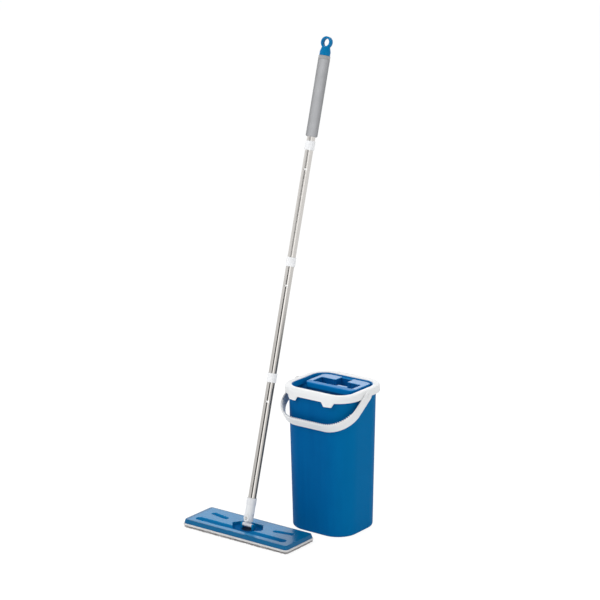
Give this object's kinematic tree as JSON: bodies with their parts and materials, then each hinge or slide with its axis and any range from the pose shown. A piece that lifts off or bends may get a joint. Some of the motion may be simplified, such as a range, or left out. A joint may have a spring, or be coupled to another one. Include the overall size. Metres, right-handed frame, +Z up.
{
  "type": "mop and bucket with wringer",
  "caption": "Flat mop with a folding head on a sectional steel pole, standing by a tall bucket with a bail and a lift-out wringer insert whose slot squeezes the pad.",
  "frame": {"origin": "centre of the bucket's flat base, on the floor", "axes": "+Z up; -Y is the front, where the bail hangs and the mop head lies; the mop stands to the -X side"},
  "size_m": [0.4098, 0.4118, 1.2233],
  "materials": {
    "tub_blue": "satin moulded polypropylene, deep blue",
    "insert_blue": "moulded plastic, bright blue",
    "plate_blue": "moulded plastic, bright blue",
    "white_plastic": "satin white moulded plastic",
    "pole_steel": "polished stainless tube",
    "pin_steel": "bright steel wire and strip",
    "grip_grey": "matt grey foamed rubber",
    "ring_grey": "pale grey plastic",
    "lip_rubber": "soft dark rubber",
    "insert_plastic": "natural nylon",
    "pad_fabric": "looped microfibre pile",
    "binding_fabric": "sewn woven edge tape",
    "hook_tape": "woven hook tape"
  },
  "bodies": {
    "bucket": {"bucket_tub": "tub_blue", "rim_collar": "white_plastic", "bail_pivot_studs": "white_plastic"},
    "bail": {"bail_handle": "white_plastic"},
    "wringer": {"wringer_lid": "insert_blue", "wringer_chute": "insert_blue", "chute_screws": "pin_steel", "squeegee_hinge_pin": "pin_steel", "squeegee_springs": "pin_steel"},
    "squeegee": {"squeegee_bar": "white_plastic", "squeegee_lip": "lip_rubber"},
    "mop_head": {"head_plate": "plate_blue", "mop_pad": "pad_fabric", "pad_binding": "binding_fabric", "hook_strips": "hook_tape", "tilt_pin": "pin_steel"},
    "yoke": {"joint_yoke": "white_plastic"},
    "pole": {"pole_socket": "white_plastic", "socket_nut": "white_plastic", "fold_pin": "pin_steel", "pole_tube_lower": "pole_steel", "pole_tube_second": "pole_steel", "pole_tube_third": "pole_steel", "pole_tube_top": "pole_steel", "joint_collar_lower": "white_plastic", "joint_collar_middle": "white_plastic", "joint_collar_upper": "white_plastic", "thread_insert_lower": "insert_plastic", "thread_insert_middle": "insert_plastic", "thread_insert_upper": "insert_plastic", "hand_grip": "grip_grey", "grip_end_ring": "ring_grey", "hanger_cap": "plate_blue"}
  },
  "joints": [
    {"name": "mop_lift", "type": "slide", "parent": "bucket", "child": "mop_head", "axis": [0, 0, 1], "range_m": [0, 0.45]},
    {"name": "head_tilt", "type": "hinge", "parent": "mop_head", "child": "yoke", "pos_m": [-0.12823, -0.18835, 0.0264], "axis": [-1, 0, 0], "range_deg": [-72.2, 39.8]},
    {"name": "pole_fold", "type": "hinge", "parent": "yoke", "child": "pole", "pos_m": [-0.12823, -0.18359, 0.0428], "axis": [0, 0.9603, -0.279], "range_deg": [-90, 0]},
    {"name": "bail_swing", "type": "hinge", "parent": "bucket", "child": "bail", "pos_m": [0, 0, 0.363], "axis": [-1, 0, 0], "range_deg": [0, 249]},
    {"name": "wringer_lift", "type": "slide", "parent": "bucket", "child": "wringer", "axis": [0, 0, 1], "range_m": [0, 0.15]},
    {"name": "squeegee_press", "type": "hinge", "parent": "wringer", "child": "squeegee", "pos_m": [0, -0.0055, 0.358], "axis": [-1, 0, 0], "range_deg": [0, 18], "stiffness_Nm_per_rad": 0.5, "springref_deg": -11.46, "deforming": ["squeegee_springs"]}
  ]
}
